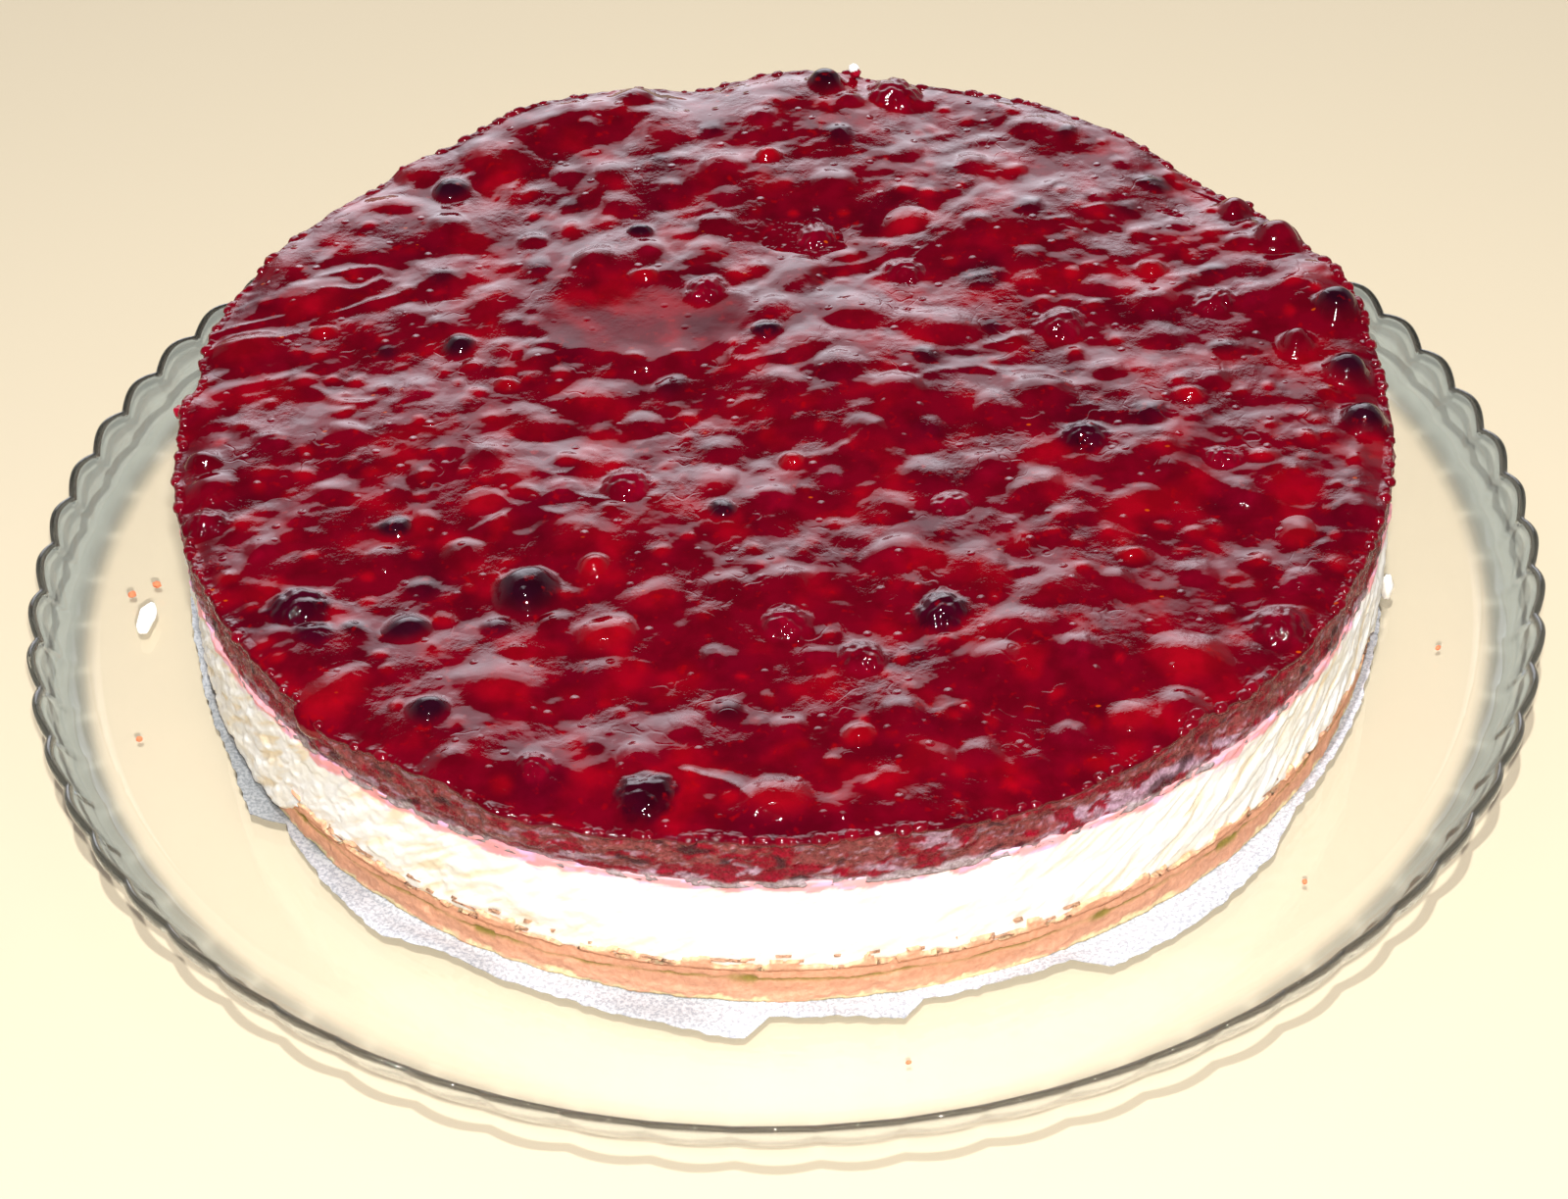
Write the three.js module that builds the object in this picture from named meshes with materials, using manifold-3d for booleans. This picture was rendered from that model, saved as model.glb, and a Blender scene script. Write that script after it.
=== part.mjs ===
// Berry cheesecake standing on a sheet of baking paper on its fluted glass cake plate.
// Millimetres, +Z up. The origin is the middle of the plate's underside.
import * as THREE from 'three';
import { mergeVertices } from 'three/addons/utils/BufferGeometryUtils.js';
import Module from 'manifold-3d';

const wasm = await Module();
wasm.setup();

// --- driving dimensions -------------------------------------------------------------------

// Glass plate: a flat floor and a low wall of convex flutes that leans out to its lip. The lip
// arches up over every flute, and FLUTE_TURN sets one of its dips, in degrees from +X.
const PLATE_FLUTES = 65;
const FLUTE_TURN = -0.56;
const STEPS_PER_FLUTE = 4;
const PLATE_HEIGHT = 15.5;
const PLATE_FLOOR = 4;
const PLATE_UNDERSIDE_RADIUS = 149;
const PLATE_FLOOR_RADIUS = 154;
const PLATE_LIP_RADIUS = 163;
const FLUTE_DEPTH = 1.4;
const LIP_DIP = 1.9;

// The cake stands a little behind the middle of the plate.
const CAKE_X = 1;
const CAKE_Y = 3.4;
const CAKE_RADIUS = 129;
const PAPER_THICKNESS = 0.5;
const BASE_THICKNESS = 10.5;
const CREAM_THICKNESS = 23;
const JELLY_THICKNESS = 12;

const BASE_BOTTOM = PLATE_FLOOR + PAPER_THICKNESS;
const CREAM_BOTTOM = BASE_BOTTOM + BASE_THICKNESS;
const JELLY_BOTTOM = CREAM_BOTTOM + CREAM_THICKNESS;

// The paper's torn edge, as [direction in degrees, reach in mm] from the cake's middle.
const PAPER_EDGE = [
  [0, 131], [25, 134], [48, 131], [70, 136], [95, 132], [120, 137], [146, 133], [170, 135],
  [192, 131], [205, 131], [213, 134], [216, 130], [224, 133], [232, 136], [238, 133],
  [248, 134], [259, 136], [265, 138], [267, 132], [274, 133], [278, 135], [280, 131],
  [293, 132], [296, 137], [306, 136], [315, 134], [320, 131], [340, 130],
];

// Lumps of the jelly's rim: where they are in degrees, how wide in degrees, and how far
// they stand out and up in mm.
const RIM_LUMPS = [
  { at: 15, wide: 9, out: 1.4, up: 1.6 },
  { at: 38, wide: 8, out: -2.2, up: -1.6 },
  { at: 60, wide: 9, out: 0.4, up: 0.8 },
  { at: 86, wide: 8, out: 1.2, up: 1.8 },
  { at: 99, wide: 5, out: -1.4, up: -1.6 },
  { at: 114, wide: 12, out: 1.2, up: 1.6 },
  { at: 160, wide: 9, out: 1.2, up: 0.6 },
  { at: 173, wide: 4, out: -1.2, up: -0.4 },
  { at: 226, wide: 4, out: 2.2, up: 0 },
  { at: 245, wide: 8, out: 2.6, up: 0.4 },
  { at: 295, wide: 9, out: -1.4, up: -0.8 },
  { at: 308, wide: 4, out: -1.6, up: -1.6 },
];

// The berries by kind. height and long are shares of the width, knobs is the depth of the
// small beads as a share of the radius, and taper narrows one end.
const KINDS = {
  blueberry: { height: 0.86, long: 1, around: 8, up: 4, knobs: 0, taper: 0, color: 0x26101f },
  currant: { height: 0.95, long: 1, around: 6, up: 4, knobs: 0, taper: 0, color: 0x8c0616 },
  raspberry: { height: 0.82, long: 1.12, around: 8, up: 6, knobs: 0.09, taper: 0.1, color: 0x9e0a1e },
  bramble: { height: 0.8, long: 1.1, around: 8, up: 6, knobs: 0.1, taper: 0.05, color: 0x3a0614 },
  strawberry: { height: 0.58, long: 0.78, around: 10, up: 5, knobs: 0, taper: 0.3, color: 0xc8150a },
  cherry: { height: 0.92, long: 1, around: 8, up: 4, knobs: 0, taper: 0, color: 0x6e0614 },
};

// The berries that stand out, as [x, y, width, rise, turn]: x and y from the cake's middle,
// rise above the jelly in mm, turn of the long way in degrees.
const PLACED = {
  blueberry: [
    [-52, -58, 14.5, 4.2, 0], [-76, -67, 11.5, 2.2, 0], [-70, -93, 8, 2.6, 0],
    [-80, -37, 7.5, 2.2, 0], [-13, -36, 7, 2, 0], [-3, 24, 7.5, 2, 0], [-70, 24, 8.5, 2.2, 0],
    [-31, 64, 7, 2, 0], [14, 121, 8.5, 3.2, 0], [122, 24, 9.5, 4.4, 0], [121, 3, 9.5, 3.8, 0],
    [122, -14, 10, 3.8, 0], [-75, 84, 9, 2.2, 0],
  ],
  strawberry: [
    [-87, -84, 18.5, 1.6, 52], [-36, -71, 13.5, 3.2, 8], [77, -85, 20.5, 2.4, -24],
    [-4, -118, 16.5, 2.2, 4], [-62, -30, 12.5, 1.8, 20], [31, 64, 14.5, 2, -12],
    [103, -48, 11, 1.8, 60], [64, -100, 11, 2, -30],
  ],
  raspberry: [
    [-1, -70, 10.5, 2.6, 10], [14, -81, 9.5, 2, 60], [95, -76, 11.5, 2.6, 120],
    [-49, -108, 8, 1.8, 30], [-33, -27, 12, 2.8, 20], [34, -36, 10, 2, 80],
    [9, 61, 10, 2, 130], [29, 46, 10.5, 2, 40], [62, 24, 12.5, 2.6, 15], [96, 29, 10.5, 2.4, 75],
    [-16, 40, 11, 2.4, 160], [-119, -33, 10, 2.4, 100], [30, 117, 13.5, 3.4, 20],
    [91, -25, 8, 1.8, 50],
  ],
  bramble: [
    [30, -69, 11.5, 2.6, 30], [-28, -116, 13.5, 2.4, 10], [-98, -60, 13.5, 2.4, 60],
    [63, -17, 12.5, 2.6, 0],
  ],
  cherry: [[105, 65, 9, 3.4, 0], [113, 51, 11, 4, 0], [112, 13, 8.5, 3, 0], [-122, -13, 9.5, 2.6, 0]],
};

// Currants that the rule adds in between, as nodes, and still smaller ones fused on.
const LOOSE_CURRANTS = { count: 10, width: [6.4, 7.6], rise: 2, clear: 3 };
const SUNK_CURRANTS = { count: 20, width: [4.6, 6.4], rise: 1.1, clear: 1.6 };
const SEED = 20417;

// A pocket is the berry's own shape, larger by this much all round.
const POCKET_GAP = 0.35;

// --- small tools --------------------------------------------------------------------------

function seededRandom(seed) {
  let state = seed;
  return () => {
    state = (state + 0x6d2b79f5) | 0;
    let mixed = Math.imul(state ^ (state >>> 15), 1 | state);
    mixed = (mixed + Math.imul(mixed ^ (mixed >>> 7), 61 | mixed)) ^ mixed;
    return ((mixed ^ (mixed >>> 14)) >>> 0) / 4294967296;
  };
}

function between(random, [low, high]) {
  return low + (high - low) * random();
}

function smoothStep(low, high, value) {
  return THREE.MathUtils.smoothstep(value, low, high);
}

// A lathe turned about Z whose points are then moved by reshape(point, angle, radius).
function turned(profile, steps, reshape) {
  const lathe = new THREE.LatheGeometry(profile.map(([r, z]) => new THREE.Vector2(r, z)), steps);
  lathe.rotateX(Math.PI / 2);
  return reshaped(lathe, reshape);
}

function reshaped(geometry, reshape) {
  geometry.deleteAttribute('normal');
  geometry.deleteAttribute('uv');
  const merged = mergeVertices(geometry, 1e-3);
  const place = merged.getAttribute('position');
  const point = new THREE.Vector3();
  for (let i = 0; i < place.count; i += 1) {
    point.fromBufferAttribute(place, i);
    const angle = (Math.atan2(point.y, point.x) + 2 * Math.PI) % (2 * Math.PI);
    reshape(point, angle, Math.hypot(point.x, point.y));
    place.setXYZ(i, point.x, point.y, point.z);
  }
  return merged;
}

function pushOut(point, distance) {
  const radius = Math.hypot(point.x, point.y);
  if (radius < 1) return;
  point.x *= 1 + distance / radius;
  point.y *= 1 + distance / radius;
}

function toSolid(geometry) {
  const vertProperties = new Float32Array(geometry.getAttribute('position').array);
  const triVerts = new Uint32Array(geometry.getIndex().array);
  return new wasm.Manifold(new wasm.Mesh({ numProp: 3, vertProperties, triVerts }));
}

function fromSolid(solid) {
  const mesh = solid.getMesh();
  const geometry = new THREE.BufferGeometry();
  geometry.setAttribute('position', new THREE.BufferAttribute(mesh.vertProperties, 3));
  geometry.setIndex(new THREE.BufferAttribute(mesh.triVerts, 1));
  return geometry;
}

function largestPiece(solid) {
  return solid.decompose().reduce((a, b) => (a.volume() >= b.volume() ? a : b));
}

function named(name, geometry, { color, roughness, metalness = 0, opacity = 1 }) {
  const transparent = opacity < 1;
  const material = new THREE.MeshStandardMaterial({ color, roughness, metalness, opacity, transparent });
  const mesh = new THREE.Mesh(geometry, material);
  mesh.name = name;
  return mesh;
}

// --- the plate and the paper --------------------------------------------------------------

function plateGeometry() {
  const lip = PLATE_LIP_RADIUS;
  const profile = [
    [0, 0],
    [PLATE_UNDERSIDE_RADIUS, 0],
    [lip - 4.6, 2.6],
    [lip + 0.4, PLATE_HEIGHT - 2.8],
    [lip - 0.8, PLATE_HEIGHT],
    [lip - 2.8, PLATE_HEIGHT - 1.3],
    [PLATE_FLOOR_RADIUS, PLATE_FLOOR],
    [0, PLATE_FLOOR],
  ];
  const plate = turned(profile, PLATE_FLUTES * STEPS_PER_FLUTE, (point, angle, radius) => {
    const flute = Math.abs(Math.sin((angle * PLATE_FLUTES) / 2));
    const height = smoothStep(1, PLATE_HEIGHT - 2, point.z);
    if (radius > PLATE_FLOOR_RADIUS + 1) pushOut(point, FLUTE_DEPTH * flute * height);
    point.z -= LIP_DIP * (1 - flute) * smoothStep(6, PLATE_HEIGHT, point.z);
  });
  return plate.rotateZ(THREE.MathUtils.degToRad(FLUTE_TURN));
}

function paperGeometry() {
  const points = PAPER_EDGE.map(([degrees, reach]) => {
    const angle = THREE.MathUtils.degToRad(degrees);
    return new THREE.Vector2(reach * Math.cos(angle), reach * Math.sin(angle));
  });
  const sheet = new THREE.Shape(points);
  return new THREE.ExtrudeGeometry(sheet, { depth: PAPER_THICKNESS, bevelEnabled: false });
}

// --- the three layers of the cake ---------------------------------------------------------

function biscuitGeometry(random) {
  const crags = 0.8;
  const profile = [[0, 0], [CAKE_RADIUS - 1.5, 0], [CAKE_RADIUS - 0.6, 2.8], [CAKE_RADIUS - 2.2, 5.6],
    [CAKE_RADIUS - 0.6, BASE_THICKNESS], [0, BASE_THICKNESS]];
  return turned(profile, 72, (point) => pushOut(point, crags * (random() - 0.5) * 2));
}

function creamGeometry(random) {
  const smear = 0.5;
  const profile = [[0, 0], [CAKE_RADIUS - 1.2, 0], [CAKE_RADIUS - 0.5, 10],
    [CAKE_RADIUS, CREAM_THICKNESS], [0, CREAM_THICKNESS]];
  return turned(profile, 60, (point) => pushOut(point, smear * (random() - 0.5) * 2));
}

// How far the rim's lumps stand out or up at an angle.
function rimLump(angle, way) {
  return RIM_LUMPS.reduce((sum, lump) => {
    const apart = THREE.MathUtils.radToDeg(angle) - lump.at;
    const turn = ((apart + 540) % 360) - 180;
    return sum + lump[way] * Math.exp(-((turn / lump.wide) ** 2));
  }, 0);
}

// The height of the jelly's surface above its bottom: long waves and a soft edge.
function jellyHeight(x, y) {
  const radius = Math.hypot(x, y);
  const angle = (Math.atan2(y, x) + 2 * Math.PI) % (2 * Math.PI);
  const waves = 0.7 * Math.sin(x / 13 + 0.6) * Math.cos(y / 17) + 0.6 * Math.sin((x + 2 * y) / 24);
  const edge = 1.1 * smoothStep(CAKE_RADIUS - 8, CAKE_RADIUS + 1, radius);
  const lump = rimLump(angle, 'up') * smoothStep(CAKE_RADIUS - 26, CAKE_RADIUS - 6, radius);
  return JELLY_THICKNESS + waves - edge + lump;
}

function jellyBody(random) {
  const steps = 60;
  const profile = [[0, 0], [CAKE_RADIUS, 0], [CAKE_RADIUS + 0.4, 5]];
  const rings = [CAKE_RADIUS - 0.4, 123, 108, 90, 72, 54, 36, 18, 0];
  rings.forEach((radius) => profile.push([radius, JELLY_THICKNESS]));
  return turned(profile, steps, (point, angle, radius) => {
    if (point.z > JELLY_THICKNESS - 1) point.z = jellyHeight(point.x, point.y);
    if (radius < CAKE_RADIUS - 9) return;
    const height = smoothStep(0, JELLY_THICKNESS / 2, point.z);
    pushOut(point, rimLump(angle, 'out') * height + 0.6 * (random() - 0.5));
  });
}

// --- berries ------------------------------------------------------------------------------

// One berry at its place in the cake's frame, optionally grown all round for its pocket.
function berryGeometry({ kind, x, y, width, rise, turn }, grow = 0) {
  const { height, long, around, up, knobs, taper } = KINDS[kind];
  const half = new THREE.Vector3(width / 2, (width / 2) * long, (width / 2) * height);
  const ball = new THREE.SphereGeometry(1, around, up);
  ball.rotateX(Math.PI / 2);
  const berry = reshaped(ball, (point, angle) => {
    const column = Math.round((angle * around) / (2 * Math.PI));
    const row = Math.round((Math.acos(THREE.MathUtils.clamp(point.z, -1, 1)) * up) / Math.PI);
    const knob = 1 - knobs * ((column + row) % 2);
    const narrow = 1 - taper * point.x;
    point.multiply(new THREE.Vector3(knob, knob * narrow, knob));
    point.multiply(half).multiplyScalar(1 + grow / (half.z * (1 - knobs) * 0.8));
  });
  berry.rotateZ(THREE.MathUtils.degToRad(turn));
  berry.translate(x, y, jellyHeight(x, y) + rise - half.z);
  return berry;
}

function placedBerries() {
  return Object.entries(PLACED).flatMap(([kind, places]) =>
    places.map(([x, y, width, rise, turn]) => ({ kind, x, y, width, rise, turn })));
}

// Draws currants where they stay clear of every berry that is already there.
function drawCurrants(random, berries, { count, width, rise, clear }) {
  const drawn = [];
  while (drawn.length < count) {
    const reach = (CAKE_RADIUS - 9) * Math.sqrt(random());
    const angle = 2 * Math.PI * random();
    const berry = { kind: 'currant', x: reach * Math.cos(angle), y: reach * Math.sin(angle),
      width: between(random, width), rise, turn: 0 };
    const spread = Math.sqrt(Math.PI * CAKE_RADIUS ** 2 / count) * 0.6;
    const free = berries.every((b) => Math.hypot(b.x - berry.x, b.y - berry.y)
      > (b.width + berry.width) / 2 + clear);
    const even = drawn.every((b) => Math.hypot(b.x - berry.x, b.y - berry.y) > spread);
    if (free && even) drawn.push(berry);
  }
  return drawn;
}

// The jelly with its smallest currants fused on and a pocket for every other berry.
function jellyGeometry(random, berries, sunk) {
  const bumps = sunk.map((berry) => toSolid(berryGeometry(berry)));
  const pockets = berries.map((berry) => toSolid(berryGeometry(berry, POCKET_GAP)));
  const body = wasm.Manifold.union([toSolid(jellyBody(random)), ...bumps]);
  return fromSolid(largestPiece(body.subtract(wasm.Manifold.union(pockets))));
}

// --- assembly -----------------------------------------------------------------------------

function buildCake() {
  const random = seededRandom(SEED);
  const placed = placedBerries();
  const berries = [...placed, ...drawCurrants(random, placed, LOOSE_CURRANTS)];
  const sunk = drawCurrants(random, berries, SUNK_CURRANTS);
  const cake = new THREE.Group();
  cake.position.set(CAKE_X, CAKE_Y, 0);

  const paper = named('baking_paper', paperGeometry(), { color: 0xdcdcdc, roughness: 0.6 });
  paper.position.z = PLATE_FLOOR;
  const base = named('biscuit_base', biscuitGeometry(random), { color: 0xd99a62, roughness: 0.95 });
  base.position.z = BASE_BOTTOM;
  const cream = named('cream_filling', creamGeometry(random), { color: 0xfdf7e4, roughness: 0.6 });
  cream.position.z = CREAM_BOTTOM;
  cake.add(paper, base, cream);

  const topping = new THREE.Group();
  topping.position.z = JELLY_BOTTOM;
  const jelly = jellyGeometry(random, berries, sunk);
  topping.add(named('berry_jelly', jelly, { color: 0x7a0420, roughness: 0.12 }));
  const counts = {};
  berries.forEach((berry) => {
    counts[berry.kind] = (counts[berry.kind] ?? 0) + 1;
    const name = `${berry.kind}_${String(counts[berry.kind]).padStart(2, '0')}`;
    topping.add(named(name, berryGeometry(berry), { color: KINDS[berry.kind].color, roughness: 0.15 }));
  });
  cake.add(topping);
  return cake;
}

const cheesecake = new THREE.Group();
const glass = { color: 0xdde6e8, roughness: 0.05, opacity: 0.35 };
cheesecake.add(named('cake_plate', plateGeometry(), glass));
cheesecake.add(buildCake());

export default cheesecake;
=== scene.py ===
"""The looks of a berry cheesecake that stands on baking paper on a fluted glass plate.

The cake has a crumb base, a thick white cream and a glossy jelly full of berries. All pieces
are in metres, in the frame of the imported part, with the cake a little behind the plate's middle.
"""
import math

import bpy
import numpy as np
from mathutils import Matrix, Vector


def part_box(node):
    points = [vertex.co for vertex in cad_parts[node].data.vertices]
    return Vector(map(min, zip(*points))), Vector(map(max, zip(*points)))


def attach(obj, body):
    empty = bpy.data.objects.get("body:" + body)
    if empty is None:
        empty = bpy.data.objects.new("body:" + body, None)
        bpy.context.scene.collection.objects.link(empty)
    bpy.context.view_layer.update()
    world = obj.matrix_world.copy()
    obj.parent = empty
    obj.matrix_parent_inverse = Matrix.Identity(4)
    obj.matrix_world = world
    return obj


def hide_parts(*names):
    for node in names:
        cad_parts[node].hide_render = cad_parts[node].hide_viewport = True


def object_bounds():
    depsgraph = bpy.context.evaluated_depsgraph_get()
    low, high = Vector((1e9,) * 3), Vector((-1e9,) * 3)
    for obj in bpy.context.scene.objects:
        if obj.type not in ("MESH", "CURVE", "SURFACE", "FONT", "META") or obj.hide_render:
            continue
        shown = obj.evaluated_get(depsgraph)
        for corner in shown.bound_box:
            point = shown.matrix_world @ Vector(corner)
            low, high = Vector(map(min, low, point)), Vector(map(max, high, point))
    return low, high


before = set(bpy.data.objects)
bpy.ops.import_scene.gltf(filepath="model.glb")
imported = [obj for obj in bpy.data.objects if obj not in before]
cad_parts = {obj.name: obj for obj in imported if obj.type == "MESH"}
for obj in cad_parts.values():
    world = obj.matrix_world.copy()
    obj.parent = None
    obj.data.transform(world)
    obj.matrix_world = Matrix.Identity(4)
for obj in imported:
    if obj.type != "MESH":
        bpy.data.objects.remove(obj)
cad_low, cad_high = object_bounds()

MM = 0.001
SEED = 20417

# --- sizes, from the frame and from the part's own driving dimensions ----------------------

CAKE = Vector((1.0, 3.4, 0.0)) * MM
CAKE_RADIUS = 129 * MM
PLATE_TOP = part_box("cake_plate")[1].z
PAPER_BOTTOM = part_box("baking_paper")[0].z
BASE_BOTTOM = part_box("biscuit_base")[0].z
CREAM_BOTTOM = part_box("cream_filling")[0].z
JELLY_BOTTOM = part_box("berry_jelly")[0].z
JELLY_TOP = JELLY_BOTTOM + 12 * MM

FLUTES = 65
FLUTE_TURN = math.radians(-0.56)
FLUTE_DEPTH = 1.4 * MM
LIP_DIP = 1.9 * MM
STEPS_PER_FLUTE = 12
LIP_RADIUS = 163 * MM

# The plate's profile, all in mm: the foot and the floor by radius, and the wall by its distance
# from the lip's radius. Heights are over the table, but for the lip's, which go down from its top.
PLATE_FOOT = [(146, 0), (149, 0), (152, 0.35), (155, 1.2)]
WALL_OUTSIDE = [
    (-5.2, 2.3), (-3.4, 4.2), (-2.0, 6.6), (-0.9, 9.0), (-0.1, 11.2), (0.3, 12.8), (0.35, 14.0),
    (0.3, 15.0),
]
LIP = [(0.1, 0.3), (-0.3, 0), (-0.8, 0.1), (-1.2, 0.6)]
WALL_INSIDE = [
    (-1.5, 14.2), (-1.7, 12.6), (-2.1, 11.0), (-2.9, 8.8), (-4.0, 6.6), (-5.4, 5.1), (-7.6, 4.3),
]
FLOOR_EDGE = 153.4
FLOOR_RADII = (151, 147)

# The paper: its sheet's rings in mm and points round each, how thick it is, and where and over
# what width it comes free of the cake.
PAPER_RINGS = (60, 124, 127, 129, 131, 133, 134)
PAPER_STEPS = 1440
PAPER_SHEET = 0.16 * MM
PAPER_FREE = 124 * MM
PAPER_FREE_WIDTH = 10 * MM

# Rings round the walls of the layers have this many points.
WALL_STEPS = 1400

# Camera, measured from the cake's round edges.
CAMERA_PLACE = Vector((1.0, -515.7, 459.7)) * MM
CAMERA_DOWN = 41.95
CAMERA_TURN = 0.14
CAMERA_ROLL = -2.33
CAMERA_LENS = 71.0

# Lumps of the jelly's rim, as in the part: place and width in degrees, reach out and up in mm.
RIM_LUMPS = [
    (15, 9, 1.4, 1.6), (38, 8, -2.2, -1.6), (60, 9, 0.4, 0.8), (86, 8, 1.2, 1.8),
    (99, 5, -1.4, -1.6), (114, 12, 1.2, 1.6), (160, 9, 1.2, 0.6), (173, 4, -1.2, -0.4),
    (226, 4, 2.2, 0), (245, 8, 2.6, 0.4), (295, 9, -1.4, -0.8), (308, 4, -1.6, -1.6),
]

# How much wider a finished berry is than the plain one in the part.
BERRY_SWELL = np.array((1.03, 1.03, 1.0))

# How the skin over a fruit falls from its middle to its outline, in shares of its height.
DOME_FALL = 0.55
DOME_EDGE_FALL = 0.25

# The paper's torn edge: direction in degrees and reach in mm from the cake's middle.
PAPER_EDGE = [
    (0, 131), (25, 134), (48, 131), (70, 136), (95, 132), (120, 137), (146, 133), (170, 135),
    (192, 131), (205, 131), (213, 134), (216, 130), (224, 133), (232, 136), (238, 133),
    (248, 134), (259, 136), (265, 138), (267, 132), (274, 133), (278, 135), (280, 131),
    (293, 132), (296, 137), (306, 136), (315, 134), (320, 131), (340, 130), (360, 131),
]

# Colours, as linear RGB.
GLASS_CLEAR = np.array((1.0, 1.0, 1.0))
# The glass wall's tint is painted shade: grey-blue, and lighter at the front.
GLASS_WALL_SHADE = np.array((0.54, 0.66, 0.78))
GLASS_FRONT_LESS_SHADE = np.array((0.90, 0.94, 0.97))
PAPER_PALE = np.array((0.37, 0.39, 0.43))
PAPER_GREY = np.array((0.18, 0.19, 0.20))
BISCUIT = np.array((0.74, 0.37, 0.225))
GROOVE_OLIVE = np.array((0.28, 0.21, 0.04))
PALE_CRUMB = np.array((0.93, 0.80, 0.42))
CREAM_WHITE = np.array((0.93, 0.92, 0.89))
# Warm painted shade for the cream's creases.
CREAM_CREASE_SHADE = np.array((0.90, 0.70, 0.40))
STAIN_SALMON = np.array((0.90, 0.37, 0.40))
STAIN_MAGENTA = np.array((0.88, 0.50, 0.80))
FILM_BROWN = np.array((0.19, 0.042, 0.040))
FILM_GREY = np.array((0.32, 0.20, 0.25))
FILM_FOOT = np.array((0.36, 0.29, 0.30))
CUT_CRIMSON = np.array((0.19, 0.0004, 0.010))
CUT_DARK = np.array((0.040, 0.010, 0.015))
ORANGE_CRUMB = (0.75, 0.22, 0.10)
CREAM_BIT = (0.93, 0.91, 0.88)
JELLY_DROP = (0.30, 0.004, 0.02)
JUICE_BEAD = (0.13, 0.0004, 0.006)
PALE_FLOOR = (0.61, 0.52, 0.365, 1)
STUDIO_WALL = (0.93, 0.93, 1.02, 1)
JELLY_DEEP = (0.092, 0.00005, 0.0045)
JELLY_THIN = (0.172, 0.0001, 0.0044)
JELLY_DARK = (0.050, 0.00005, 0.0046)
FRUIT = {
    "blueberry": (0.010, 0.0010, 0.0050),
    "currant": (0.20, 0.0003, 0.0036),
    "raspberry": (0.11, 0.0002, 0.0064),
    "bramble": (0.024, 0.0003, 0.0045),
    "strawberry": (0.19, 0.0006, 0.0042),
    "cherry": (0.090, 0.0001, 0.0046),
}


# --- noise and small tools ------------------------------------------------------------------


class Noise:
    """Smooth seeded noise in three dimensions, from about -1 to 1, for arrays of points."""

    def __init__(self, seed):
        draw = np.random.default_rng(seed)
        self.order = draw.permutation(256)
        slopes = draw.normal(size=(256, 3))
        self.slopes = slopes / np.linalg.norm(slopes, axis=1, keepdims=True)

    def __call__(self, points, octaves=1):
        total = np.zeros(len(points))
        for octave in range(octaves):
            total += self.one(points * 2**octave + 17.3 * octave) / 2**octave
        return total

    def one(self, points):
        cell = np.floor(points).astype(int)
        part = points - cell
        ease = part * part * part * (part * (part * 6 - 15) + 10)
        total = np.zeros(len(points))
        for corner in np.ndindex(2, 2, 2):
            c = np.array(corner)
            x, y, z = ((cell + c) & 255).T
            slope = self.slopes[self.order[(self.order[(self.order[x] + y) & 255] + z) & 255]]
            weight = np.prod(np.where(c == 1, ease, 1 - ease), axis=1)
            total += weight * np.einsum("ij,ij->i", slope, part - c)
        return total * 1.7


def smooth(low, high, value):
    t = np.clip((value - low) / (high - low), 0, 1)
    return t * t * (3 - 2 * t)


def mix(a, b, share):
    return a + (b - a) * share


def columns(*arrays):
    return np.stack(np.broadcast_arrays(*arrays), axis=1).astype(float)


def points_of(piece):
    points = np.empty(len(piece.data.vertices) * 3)
    piece.data.vertices.foreach_get("co", points)
    return points.reshape(-1, 3)


def set_points(piece, points):
    piece.data.vertices.foreach_set("co", np.ascontiguousarray(points, float).ravel())
    piece.data.update()


def set_colour(piece, name, colours):
    """Keeps one colour for each vertex, as an attribute that the materials read."""
    attribute = piece.data.color_attributes.new(name, "FLOAT_COLOR", "POINT")
    filled = np.ones((len(piece.data.vertices), 4))
    filled[:, :3] = colours
    attribute.data.foreach_set("color", filled.ravel())


def seen_from_cake(points):
    """Angle in degrees and radius of points round the cake's middle."""
    x, y = points[:, 0] - CAKE.x, points[:, 1] - CAKE.y
    return np.degrees(np.arctan2(y, x)) % 360, np.hypot(x, y)


def finish_piece(piece, name, material, replaced=(), sharp_angle=None):
    """Names a finished piece, smooths it, and says where it belongs."""
    piece.name = name
    piece.data.name = name
    bpy.ops.object.select_all(action="DESELECT")
    piece.select_set(True)
    bpy.context.view_layer.objects.active = piece
    if sharp_angle is None:
        bpy.ops.object.shade_smooth()
    else:
        bpy.ops.object.shade_smooth_by_angle(angle=math.radians(sharp_angle))
    piece.data.materials.clear()
    piece.data.materials.append(material)
    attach(piece, "root")
    if replaced:
        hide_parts(*replaced)
    return piece


def edit(piece):
    bpy.ops.object.select_all(action="DESELECT")
    bpy.context.view_layer.objects.active = piece
    piece.select_set(True)
    bpy.ops.object.mode_set(mode="EDIT")


def stack_of_rings(around, rings, centre=(0, 0)):
    """A closed round form: a disc that is extruded up and resized ring by ring."""
    radius, level = rings[0]
    bpy.ops.mesh.primitive_circle_add(
        vertices=around, radius=radius, fill_type="NGON", location=(centre[0], centre[1], level)
    )
    piece = bpy.context.object
    bpy.ops.object.transform_apply(location=True, rotation=False, scale=False)
    edit(piece)
    bpy.ops.mesh.select_all(action="SELECT")
    for next_radius, next_level in rings[1:]:
        rise = (0, 0, next_level - level)
        bpy.ops.mesh.extrude_region_move(TRANSFORM_OT_translate={"value": rise})
        share = next_radius / radius
        middle = (centre[0], centre[1], next_level)
        bpy.ops.transform.resize(value=(share, share, 1), center_override=middle)
        radius, level = next_radius, next_level
    bpy.ops.mesh.select_all(action="SELECT")
    bpy.ops.mesh.normals_make_consistent(inside=False)
    bpy.ops.object.mode_set(mode="OBJECT")
    return piece


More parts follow.
